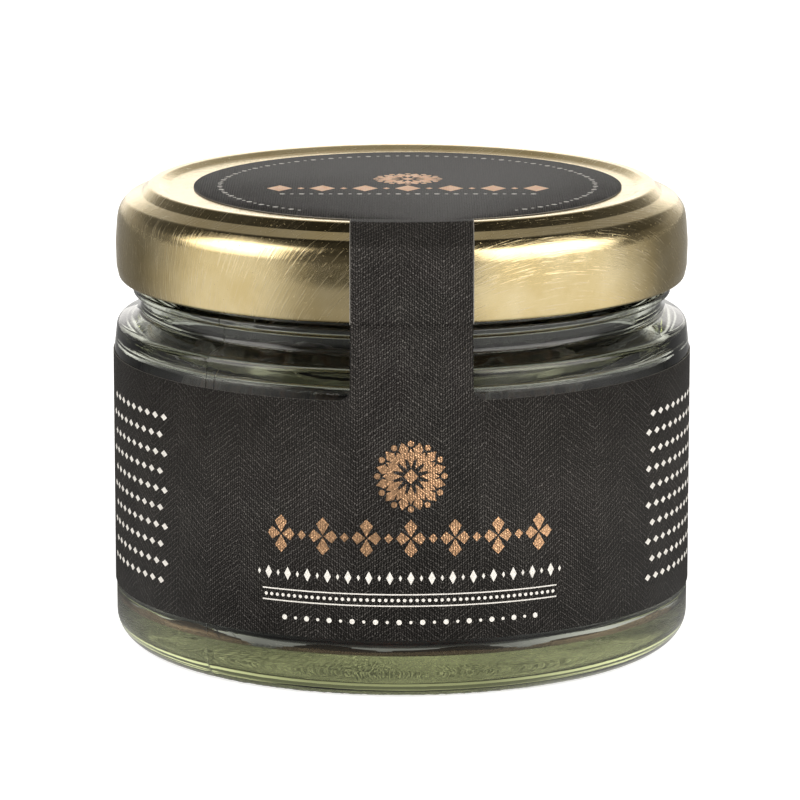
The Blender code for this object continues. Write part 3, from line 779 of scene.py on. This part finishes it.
class TRUFFLEJAR_OT_label(bpy.types.Operator):
    """Cuts the label flat, wraps its band and tab round the jar, and folds its seal strip over the lid"""

    bl_idname = "trufflejar.label"
    bl_label = "Paper label"

    def execute(self, context):
        label = context.scene.trufflejar_label
        finishes = [
            paper_finish("label_black", context.scene.trufflejar_finish.paper),
            paper_finish("label_edge", (0.20, 0.19, 0.17), pale=True),
            paper_finish("label_back", (0.05, 0.047, 0.042), pale=True)]
        self.band(label, finishes)
        self.seal(label, finishes)
        return {"FINISHED"}

    def band(self, label, finishes):
        """The band, from one end at the back to the other, and the filleted tab up to the lid."""
        half = math.pi * BAND_BOX[1].x - BACK_GAP
        left = label.tab_centre - label.tab_width / 2
        right = label.tab_centre + label.tab_width / 2
        foot = label.top + TAB_FILLET
        tab_top = LID_BOX[0].z
        outline = [(-half, label.low), (half, label.low), (half, label.top)]
        outline += arc_points(right + TAB_FILLET, foot, TAB_FILLET, 270, 180, 8)
        outline += [(right, tab_top + TAB_SPARE), (left, tab_top + TAB_SPARE)]
        outline += arc_points(left - TAB_FILLET, foot, TAB_FILLET, 0, -90, 8)
        outline += [(-half, label.top)]
        columns = int(2 * half / BEND_STEP)
        bm = cut_flat(outline, [-half + 2 * half * step / columns for step in range(1, columns)], TAB_CUTS)
        slice_at(bm, (0, tab_top, 0), (0, 1, 0), clear_outer=True)
        map_flat(bm)
        for vert in bm.verts:
            vert.co = band_point(vert.co.x, vert.co.y, label.paper)
        finished_sheet(bm, "label_band", "jar", "label_jar", finishes, label.paper, 40)

    def seal(self, label, finishes):
        """The disc on the panel, and the strip led over the rim and down the skirt."""
        half = label.tab_width / 2
        shares = [2 * (step / STRIP_COLUMNS - 0.5) for step in range(STRIP_COLUMNS + 1)]
        offsets = [label.tab_centre + (half - CUT_EDGE) * share for share in shares]
        offsets = [label.tab_centre - half, *offsets, label.tab_centre + half]
        disc_z = (PANEL_Z + 0.02) * MM + label.paper
        front = [(x, -math.sqrt(label.disc ** 2 - (x - label.disc_shift) ** 2)) for x in offsets]
        start = math.degrees(math.atan2(front[-1][1], front[-1][0] - label.disc_shift))
        end = 360 + math.degrees(math.atan2(front[0][1], front[0][0] - label.disc_shift))
        bm = cut_flat(front + arc_points(label.disc_shift, 0, label.disc, start, end, DISC_SIDES)[1:-1])
        ends = [vert for vert in bm.verts if vert.is_boundary and vert.co.y < 0
                and offsets[0] - HAIR < vert.co.x < offsets[-1] + HAIR]
        row = [edge for edge in bm.edges if edge.is_boundary and all(vert in ends for vert in edge.verts)]
        for face in [face for edge in row for face in edge.link_faces]:
            face.material_index = 0
        path = self.seal_path(label, disc_z)
        lift = LID_BOX[0].z + label.disc + sum((second - first).length for first, second in zip(path, path[1:]))
        place = {vert: (vert.co.x, vert.co.y + lift) for vert in bm.verts}
        for vert in bm.verts:
            vert.co.z = disc_z
        travelled = label.disc
        for before, point in zip(path, path[1:]):
            travelled += (point - before).length
            made = bmesh.ops.extrude_edge_only(bm, edges=row)["geom"]
            verts = [part for part in made if isinstance(part, bmesh.types.BMVert)]
            row = [part for part in made if isinstance(part, bmesh.types.BMEdge)
                   and all(vert in verts for vert in part.verts)]
            for vert in verts:
                x = vert.co.x
                vert.co = Vector((x, -math.sqrt(point.x ** 2 - x ** 2), point.y))
                place[vert] = (x, lift - travelled)
            for face in [part for part in made if isinstance(part, bmesh.types.BMFace)]:
                side = abs(face.calc_center_median().x - label.tab_centre)
                face.material_index = 1 if side > half - CUT_EDGE else 0
        map_flat(bm, place)
        finished_sheet(bm, "label_seal", "lid", "label_lid", finishes, label.paper, 60)

    def seal_path(self, label, disc_z):
        """Points (r, z) of the strip's outer face, from the disc's edge to the lid's lower edge."""
        paper = label.paper / MM
        skirt = SKIRT_R / MM + paper
        crown = CROWN_Z + paper
        disc = disc_z / MM
        return rounded([
            (label.disc / MM, disc, 0), (26.6, disc, 1.2), (28.0, crown + 0.02, 0.6), (28.95, crown, 0.5),
            (32.3, 50.95 + paper, 1.2), (skirt - 0.05, 49.3, 1.6), (skirt, 46.0, 6.0), (skirt, LID_BOX[0].z / MM, 0),
        ], 0.5 * MM)


# Print on the label: plain ornaments of petals, lozenges, dots and rules, drawn flat in millimetres

PRINT_X = 1.0
DISC_PRINT_X = 0.7
ROSETTE = 8.2
ROW_PITCH = 2.45
PRINT_LIFT = 0.012 * MM
PRINT_THICK = 0.010 * MM


def flat_shape(bm, made, matrix):
    """Moves what an operator made in the flat to its place."""
    bmesh.ops.transform(bm, matrix=matrix, verts=made)


def spot(x, y, turn=0.0):
    return Matrix.Translation((x, y, 0)) @ Matrix.Rotation(turn, 4, "Z")


def add_petal(bm, x, y, turn, start, length, width):
    """A kite-shaped petal that points away from (x, y), from start to start + length."""
    made = bmesh.ops.create_circle(bm, cap_ends=True, segments=4, radius=1.0)["verts"]
    for vert in made:
        reach = 0.5 + 0.5 * vert.co.y if abs(vert.co.x) < 0.5 else 0.62
        vert.co = Vector((vert.co.x * width / 2, start + length * reach, 0))
    flat_shape(bm, made, spot(x, y, turn))


def add_lozenge(bm, x, y, width, height):
    made = bmesh.ops.create_circle(bm, cap_ends=True, segments=4, radius=1.0)["verts"]
    flat_shape(bm, made, spot(x, y) @ Matrix.Diagonal((width / 2, height / 2, 1, 1)))


def add_dot(bm, x, y, radius, segments):
    made = bmesh.ops.create_circle(bm, cap_ends=True, segments=segments, radius=radius)["verts"]
    flat_shape(bm, made, spot(x, y))


def add_rule(bm, x, y, length, thick):
    steps = max(1, int(length * MM / BEND_STEP))
    made = bmesh.ops.create_grid(bm, x_segments=steps, y_segments=1, size=0.5)["verts"]
    flat_shape(bm, made, spot(x, y) @ Matrix.Diagonal((length, thick, 1, 1)))


class TRUFFLEJAR_OT_print(bpy.types.Operator):
    """Lays the foil and the pale ink on the label"""

    bl_idname = "trufflejar.print"
    bl_label = "Foil and ink"

    def execute(self, context):
        label = context.scene.trufflejar_label
        copper = foil_finish(context.scene.trufflejar_finish.copper)
        pale = paper_finish("ink_pale", (0.62, 0.60, 0.56), pale=True)

        def on_band(co):
            return band_point(co.x, co.y, label.paper + PRINT_LIFT)

        def on_disc(co):
            return Vector((co.x, co.y, (PANEL_Z + 0.02) * MM + PRINT_LIFT + label.paper))

        for name, draw, place, body, finish in (
                ("foil_band", self.band_foil, on_band, "jar", copper),
                ("ink_band", self.band_ink, on_band, "jar", pale),
                ("foil_disc", self.disc_foil, on_disc, "lid", copper),
                ("ink_disc", self.disc_ink, on_disc, "lid", pale)):
            bm = bmesh.new()
            draw(bm)
            bmesh.ops.scale(bm, vec=(MM, MM, MM), verts=bm.verts[:])
            map_flat(bm)
            for vert in bm.verts:
                vert.co = place(vert.co)
            bmesh.ops.recalc_face_normals(bm, faces=bm.faces[:])
            centre = Vector((0, 0, 20 * MM))
            back = [face for face in bm.faces if face.normal.dot(face.calc_center_median() - centre) < 0]
            bmesh.ops.reverse_faces(bm, faces=back)
            bmesh.ops.solidify(bm, geom=bm.faces[:], thickness=PRINT_THICK)
            finished(bm, name, body, "label_paper", [], finish, sharp=30)
        return {"FINISHED"}

    def rosette(self, bm, x, y, size):
        """Two rings of petals about a small lozenge, with a dot at each long petal's tip."""
        for step in range(12):
            turn = FULL_TURN * step / 12
            add_petal(bm, x, y, turn, 0.12 * size, 0.26 * size, 0.125 * size)
            add_petal(bm, x, y, turn + math.pi / 12, 0.23 * size, 0.25 * size, 0.135 * size)
            add_dot(bm, x - 0.45 * size * math.sin(turn), y + 0.45 * size * math.cos(turn), 0.042 * size, 10)
        add_lozenge(bm, x, y, 0.20 * size, 0.20 * size)

    def band_foil(self, bm):
        """A rosette on the tab over a row of four-petal flowers with lozenges between."""
        self.rosette(bm, PRINT_X, 25.6, ROSETTE)
        for step in range(-6, 7):
            x = PRINT_X + step * ROW_PITCH
            if step % 2:
                add_lozenge(bm, x, 18.6, 1.0, 1.1)
                continue
            for side in (-1, 1):
                for turn, reach in ((0.0, 1.5), (math.pi / 2, 2.0)):
                    add_petal(bm, x, 18.6, turn + side * math.pi / 2, 0.12, reach, 1.45)

    def band_ink(self, bm):
        """Rows of lozenges, rules and dots in front, and a field of lozenges on either side."""
        for step in range(-15, 16):
            width, height = (0.36, 0.7) if step % 2 else (0.78, 1.5)
            add_lozenge(bm, PRINT_X + step * 1.16, 14.1, width, height)
        for y in (12.25, 10.95):
            add_rule(bm, PRINT_X, y, 34, 0.14)
        for step in range(-24, 25):
            add_dot(bm, PRINT_X + step * 0.69, 11.6, 0.20, 8)
        for step in range(-11, 12):
            add_dot(bm, PRINT_X + step * 1.3, 9.1, 0.30 if step % 2 else 0.18, 10)
        for side in (-1, 1):
            centre = PRINT_X + side * 39.5
            for row in range(10):
                shift = 0.45 if row % 2 else -0.45
                for column in range(-4, 5):
                    add_lozenge(bm, centre + column * 1.8 + shift, 10.6 + row * 2.1, 1.25, 0.8)

    def disc_foil(self, bm):
        """A rosette over a row of tall and small lozenges."""
        self.rosette(bm, DISC_PRINT_X, 4.2, ROSETTE)
        for step in range(-6, 7):
            height = 1.2 if step % 2 else 4.2
            add_lozenge(bm, DISC_PRINT_X + step * ROW_PITCH, -2.6, 0.7 * height, height)

    def disc_ink(self, bm):
        """A row of dots under the lozenges, and a ring of them round the disc, open in front for the strip."""
        for step in range(-13, 14):
            add_dot(bm, DISC_PRINT_X + step * 1.1, -6.6, 0.34 if step % 2 else 0.22, 8)
        for step in range(116):
            if abs(step - 87) < 11:
                continue
            angle = FULL_TURN * step / 116
            place = 0.68 + 21.6 * math.cos(angle), 21.6 * math.sin(angle)
            add_dot(bm, *place, 0.34 if step % 2 else 0.20, 8)


# Contents

class TRUFFLEJAR_OT_truffles(bpy.types.Operator):
    """Refines each truffle from its solid, with cracked warts and a grain on its skin"""

    bl_idname = "trufflejar.truffles"
    bl_label = "Truffles"

    def execute(self, context):
        finish = truffle_finish()
        for name in ("truffle_large", "truffle_medium", "truffle_small"):
            low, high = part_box(name)
            centre = (low + high) / 2
            radius = (high - low).length / 2 / math.sqrt(3)
            bm = bmesh.new()
            bm.from_mesh(frame["nodes"][name].data)
            bmesh.ops.remove_doubles(bm, verts=bm.verts[:], dist=HAIR)
            bmesh.ops.subdivide_edges(bm, edges=bm.edges[:], cuts=3, use_grid_fill=True)
            bmesh.ops.smooth_vert(bm, verts=bm.verts[:], factor=0.5, use_axis_x=True, use_axis_y=True, use_axis_z=True)
            bmesh.ops.recalc_face_normals(bm, faces=bm.faces[:])
            bm.normal_update()
            wart = bm.verts.layers.float.new("wart")
            for vert in bm.verts:
                fine = noise.fractal(vert.co / (0.9 * MM), 0.6, 2.1, 4)
                coarse = noise.noise(vert.co / (3.2 * MM))
                vert.co += vert.normal * (0.10 * fine + 0.12 * coarse) * MM
            for vert in bm.verts:
                beside = [edge.other_vert(vert).co for edge in vert.link_edges]
                mean = sum(beside, Vector()) / len(beside)
                bulge = (vert.co - mean).dot(vert.normal) / (0.10 * MM)
                vert[wart] = smooth_share(0.5 + 0.5 * bulge + 0.5 * ((vert.co - centre).length / radius - 0.97) * 10)
            finished(bm, name + "_skin", "jar", "truffle_skin", [name], finish)
        return {"FINISHED"}


class TRUFFLEJAR_OT_juice(bpy.types.Operator):
    """Pours the shallow pool of juice, creeping up the wall a little at its edge"""

    bl_idname = "trufflejar.juice"
    bl_label = "Truffle juice"

    def execute(self, context):
        scene = context.scene
        jar = scene.trufflejar_jar
        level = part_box("truffle_juice")[1].z / MM
        gap = 0.22
        inner = (jar.radius - jar.wall) / MM - gap
        floor = jar.floor / MM + gap
        corners = [
            (0.0, level, 0), (inner - 2.4, level, 1.5), (inner - 0.05, level + 0.7, 0.1),
            (inner, jar.floor_edge / MM + gap, 3.3), (FLOOR_R - gap, floor - 0.3, 6), (0.5 * inner, floor + 0.4, 8),
            (0.0, floor + 0.5, 0)]
        bm = turned(rounded(corners, 3 * MM), 256)
        finished(bm, "juice_pool", "jar", "juice_brown", ["truffle_juice"], juice_finish(scene.trufflejar_finish.juice))
        return {"FINISHED"}


# Studio: brightness by bearing in degrees from the front, left negative, and by the height of the direction

BACKDROP = (
    (-180, 1.0), (-166, 1.0), (-154, 0.28), (-130, 0.08), (-100, 0.03), (100, 0.03), (130, 0.08), (154, 0.28),
    (166, 1.0), (180, 1.0))
BACKDROP_RISE = ((0.22, 1.0), (0.33, 0.32), (0.62, 0.24), (0.85, 0.18), (0.95, 0.0))
SOFT_BOXES = ((-100, 0.0), (-90, 1.0), (-58, 1.0), (-46, 0.0), (26, 0.0), (40, 1.0), (88, 1.0), (98, 0.0))
BOX_RISE = ((0.02, 0.12), (0.18, 1.0), (0.66, 1.0), (0.80, 0.0))
FLOOR_TONES = (
    (-180, 1.0), (-172, 0.8), (-155, 0.24), (-122, 0.12), (-100, 0.42), (-85, 0.82), (-55, 0.82), (-36, 0.32),
    (15, 0.32), (32, 0.92), (85, 0.92), (104, 0.45), (122, 0.14), (155, 0.26), (172, 0.8), (180, 1.0))
FLOOR_NEAR = ((22 * MM, 0.0), (30 * MM, 0.75), (45 * MM, 0.55), (95 * MM, 1.0))
FRONT_DARK = ((-180, 0.0), (-44, 0.0), (-30, 1.0), (8, 1.0), (26, 0.0), (180, 0.0))
FRONT_REACH = ((0.24, 0.0), (0.55, 0.85))
THROUGH_GLASS = (
    (-180, 0.26), (-168, 0.26), (-142, 0.75), (-115, 0.55), (-98, 0.35), (-62, 0.75), (-36, 0.25), (26, 0.25),
    (52, 0.80), (98, 0.35), (115, 0.55), (142, 0.75), (168, 0.26), (180, 0.26))
CAMERA_AWAY = 602.3 * MM
CAMERA_DOWN = math.radians(11.504)
CAMERA_AIM = Vector((-0.2 * MM, 0.0, 27.4 * MM))
CAMERA_LENS = 233.57


def steps_of(tree, value, stops):
    """The value mapped through (place, result) stops, evenly between them, with places from 0 to 1."""
    node = add_node(tree, "ValToRGB", value)
    elements = node.color_ramp.elements
    while len(elements) < len(stops):
        elements.new(0.5)
    for element, (place, result) in zip(elements, stops):
        element.position = place
        element.color = (result, result, result, 1.0)
    return node.outputs[0]


def around(tree, way, stops):
    """Brightness by the bearing of a direction or place, from stops in degrees."""
    x, y, _ = add_node(tree, "SeparateXYZ", way).outputs
    bearing = calc(tree, "ARCTAN2", x, times(tree, y, -1.0))
    share = times_add(tree, bearing, 1 / FULL_TURN, 0.5)
    return steps_of(tree, share, [(degrees / 360 + 0.5, result) for degrees, result in stops])


def seen_through(tree, tone, way):
    """The tone, changed to the wider and softer one for light that comes through the glass."""
    change = calc(tree, "SUBTRACT", around(tree, way, THROUGH_GLASS), tone)
    return times_add(tree, change, add_node(tree, "LightPath").outputs["Is Transmission Ray"], tone)


def add_softbox(name, place, aim, side, power, colour):
    """A square area light at a place, turned to its aim, that only lights rough surfaces."""
    light = bpy.data.lights.new(name, "AREA")
    light.shape = "RECTANGLE"
    light.size = side
    light.size_y = side
    light.energy = power
    light.color = colour
    item = bpy.data.objects.new(name, light)
    bpy.context.scene.collection.objects.link(item)
    item.location = place
    item.rotation_euler = (Vector(aim) - Vector(place)).to_track_quat("-Z", "Y").to_euler()
    item.visible_camera = False
    item.visible_glossy = False
    item.visible_transmission = False


class TRUFFLEJAR_OT_stage(bpy.types.Operator):
    """Sets the pale floor, the soft lights, the sky and the camera"""

    bl_idname = "trufflejar.stage"
    bl_label = "Studio"

    def execute(self, context):
        scene = context.scene
        self.camera(scene)
        self.floor()
        self.sky(scene)
        for name, x in (("fill_left", -0.55), ("fill_right", 0.55)):
            add_softbox(name, place=(x, -0.7, 0.22), aim=(0, 0, 0.03), side=0.35, power=4.4, colour=(1.0, 0.965, 0.92))
        scene.view_settings.view_transform = "Standard"
        return {"FINISHED"}

    def camera(self, scene):
        """A long lens a little over half a metre away, looking 11.5 degrees down."""
        data = bpy.data.cameras.new("camera")
        data.lens = CAMERA_LENS
        data.sensor_width = 36.0
        item = bpy.data.objects.new("camera", data)
        scene.collection.objects.link(item)
        item.location = CAMERA_AIM + Vector((0, -math.cos(CAMERA_DOWN), math.sin(CAMERA_DOWN))) * CAMERA_AWAY
        item.rotation_euler = (math.pi / 2 - CAMERA_DOWN, 0, 0)
        scene.camera = item

    def floor(self):
        """The pale floor that the camera sees, glowing but for a painted contact shadow where its glow fades out under
        and round the jar, and over it the darker tones that only shine back from the jar.
        """
        finish, tree, shader = new_material("floor_pale")
        reach = vector_calc(tree, "LENGTH", object_place(tree))
        # painted shadow: the floor's glow is nothing within 25 mm of the axis and full from 32 mm, a contact shade
        # under and round the jar's base
        feed(tree, shader, {
            "Base Color": (0.70, 0.70, 0.695), "Roughness": 0.9, "Specular IOR Level": 0.0,
            "Emission Color": (1.0, 1.0, 0.99), "Emission Strength": ramp(tree, reach, 25 * MM, 32 * MM, 0.0, 0.86)})
        self.plane("floor", 4.0, 0.0, finish)
        card, tree, shader = new_material("floor_tones")
        place = object_place(tree)
        reach = vector_calc(tree, "LENGTH", place)
        dark = times(tree, around(tree, place, FRONT_DARK), steps_of(tree, reach, FRONT_REACH))
        tone = times(tree, around(tree, place, FLOOR_TONES), calc(tree, "SUBTRACT", 1.0, dark))
        tone = seen_through(tree, tone, place)
        feed(tree, shader, {
            "Base Color": (0.0, 0.0, 0.0), "Specular IOR Level": 0.0, "Emission Color": (1.0, 0.99, 0.97),
            "Emission Strength": times(tree, tone, steps_of(tree, reach, FLOOR_NEAR))})
        tones = self.plane("floor_card", 3.0, 0.01 * MM, card)
        tones.visible_camera = False
        tones.visible_diffuse = False
        tones.visible_shadow = False

    def plane(self, name, radius, z, finish):
        bm = bmesh.new()
        bmesh.ops.create_circle(bm, cap_ends=True, segments=96, radius=radius)
        bmesh.ops.translate(bm, verts=bm.verts[:], vec=(0, 0, z))
        item = shaded_object(bm, name, finish)
        return item

    def sky(self, scene):
        """A white backdrop low behind, soft light from both sides in front, and dark between and overhead."""
        world = bpy.data.worlds.new("studio_sky")
        world.use_nodes = True
        scene.world = world
        tree = world.node_tree
        way = add_node(tree, "TexCoord").outputs["Generated"]
        _, _, rise = add_node(tree, "SeparateXYZ", way).outputs
        drop = seen_through(tree, around(tree, way, BACKDROP), way)
        drop = times(tree, drop, steps_of(tree, rise, BACKDROP_RISE))
        boxes = times(tree, around(tree, way, SOFT_BOXES), steps_of(tree, rise, BOX_RISE))
        strength = times_add(tree, boxes, 3.4, times_add(tree, drop, 1.6, 0.015))
        feed(tree, tree.nodes["Background"], {"Color": (1.0, 0.975, 0.94), "Strength": strength})


class TRUFFLEJAR_PT_panel(bpy.types.Panel):
    bl_label = "Truffle Jar"
    bl_idname = "TRUFFLEJAR_PT_panel"
    bl_space_type = "VIEW_3D"
    bl_region_type = "UI"
    bl_category = "Truffle Jar"

    def draw(self, context):
        for place in GROUPS:
            group = getattr(context.scene, place)
            box = self.layout.box()
            for name in group.bl_rna.properties.keys():
                if name not in ("rna_type", "name"):
                    box.prop(group, name)
        for operator in OPERATORS:
            self.layout.operator(operator.bl_idname)


GROUPS = {
    "trufflejar_jar": TRUFFLEJAR_PG_jar,
    "trufflejar_lid": TRUFFLEJAR_PG_lid,
    "trufflejar_label": TRUFFLEJAR_PG_label,
    "trufflejar_finish": TRUFFLEJAR_PG_finish,
}
OPERATORS = (
    TRUFFLEJAR_OT_stage, TRUFFLEJAR_OT_glass, TRUFFLEJAR_OT_lid, TRUFFLEJAR_OT_label, TRUFFLEJAR_OT_print,
    TRUFFLEJAR_OT_truffles, TRUFFLEJAR_OT_juice,
)


def register():
    for kind in (*GROUPS.values(), *OPERATORS, TRUFFLEJAR_PT_panel):
        bpy.utils.register_class(kind)
    for name, kind in GROUPS.items():
        setattr(bpy.types.Scene, name, PointerProperty(type=kind))


def unregister():
    for name in GROUPS:
        delattr(bpy.types.Scene, name)
    for kind in reversed((*GROUPS.values(), *OPERATORS, TRUFFLEJAR_PT_panel)):
        bpy.utils.unregister_class(kind)


def clear_scene():
    """Removes what a new file holds and the frame doesn't."""
    kept = set(frame["nodes"].values()) | set(frame["bodies"].values())
    for item in [item for item in bpy.data.objects if item not in kept]:
        bpy.data.objects.remove(item, do_unlink=True)


def main():
    clear_scene()
    register()
    bpy.ops.trufflejar.stage()
    bpy.ops.trufflejar.glass()
    bpy.ops.trufflejar.lid()
    bpy.ops.trufflejar.label()
    bpy.ops.trufflejar.print()
    bpy.ops.trufflejar.truffles()
    bpy.ops.trufflejar.juice()


if __name__ == "__main__":
    main()
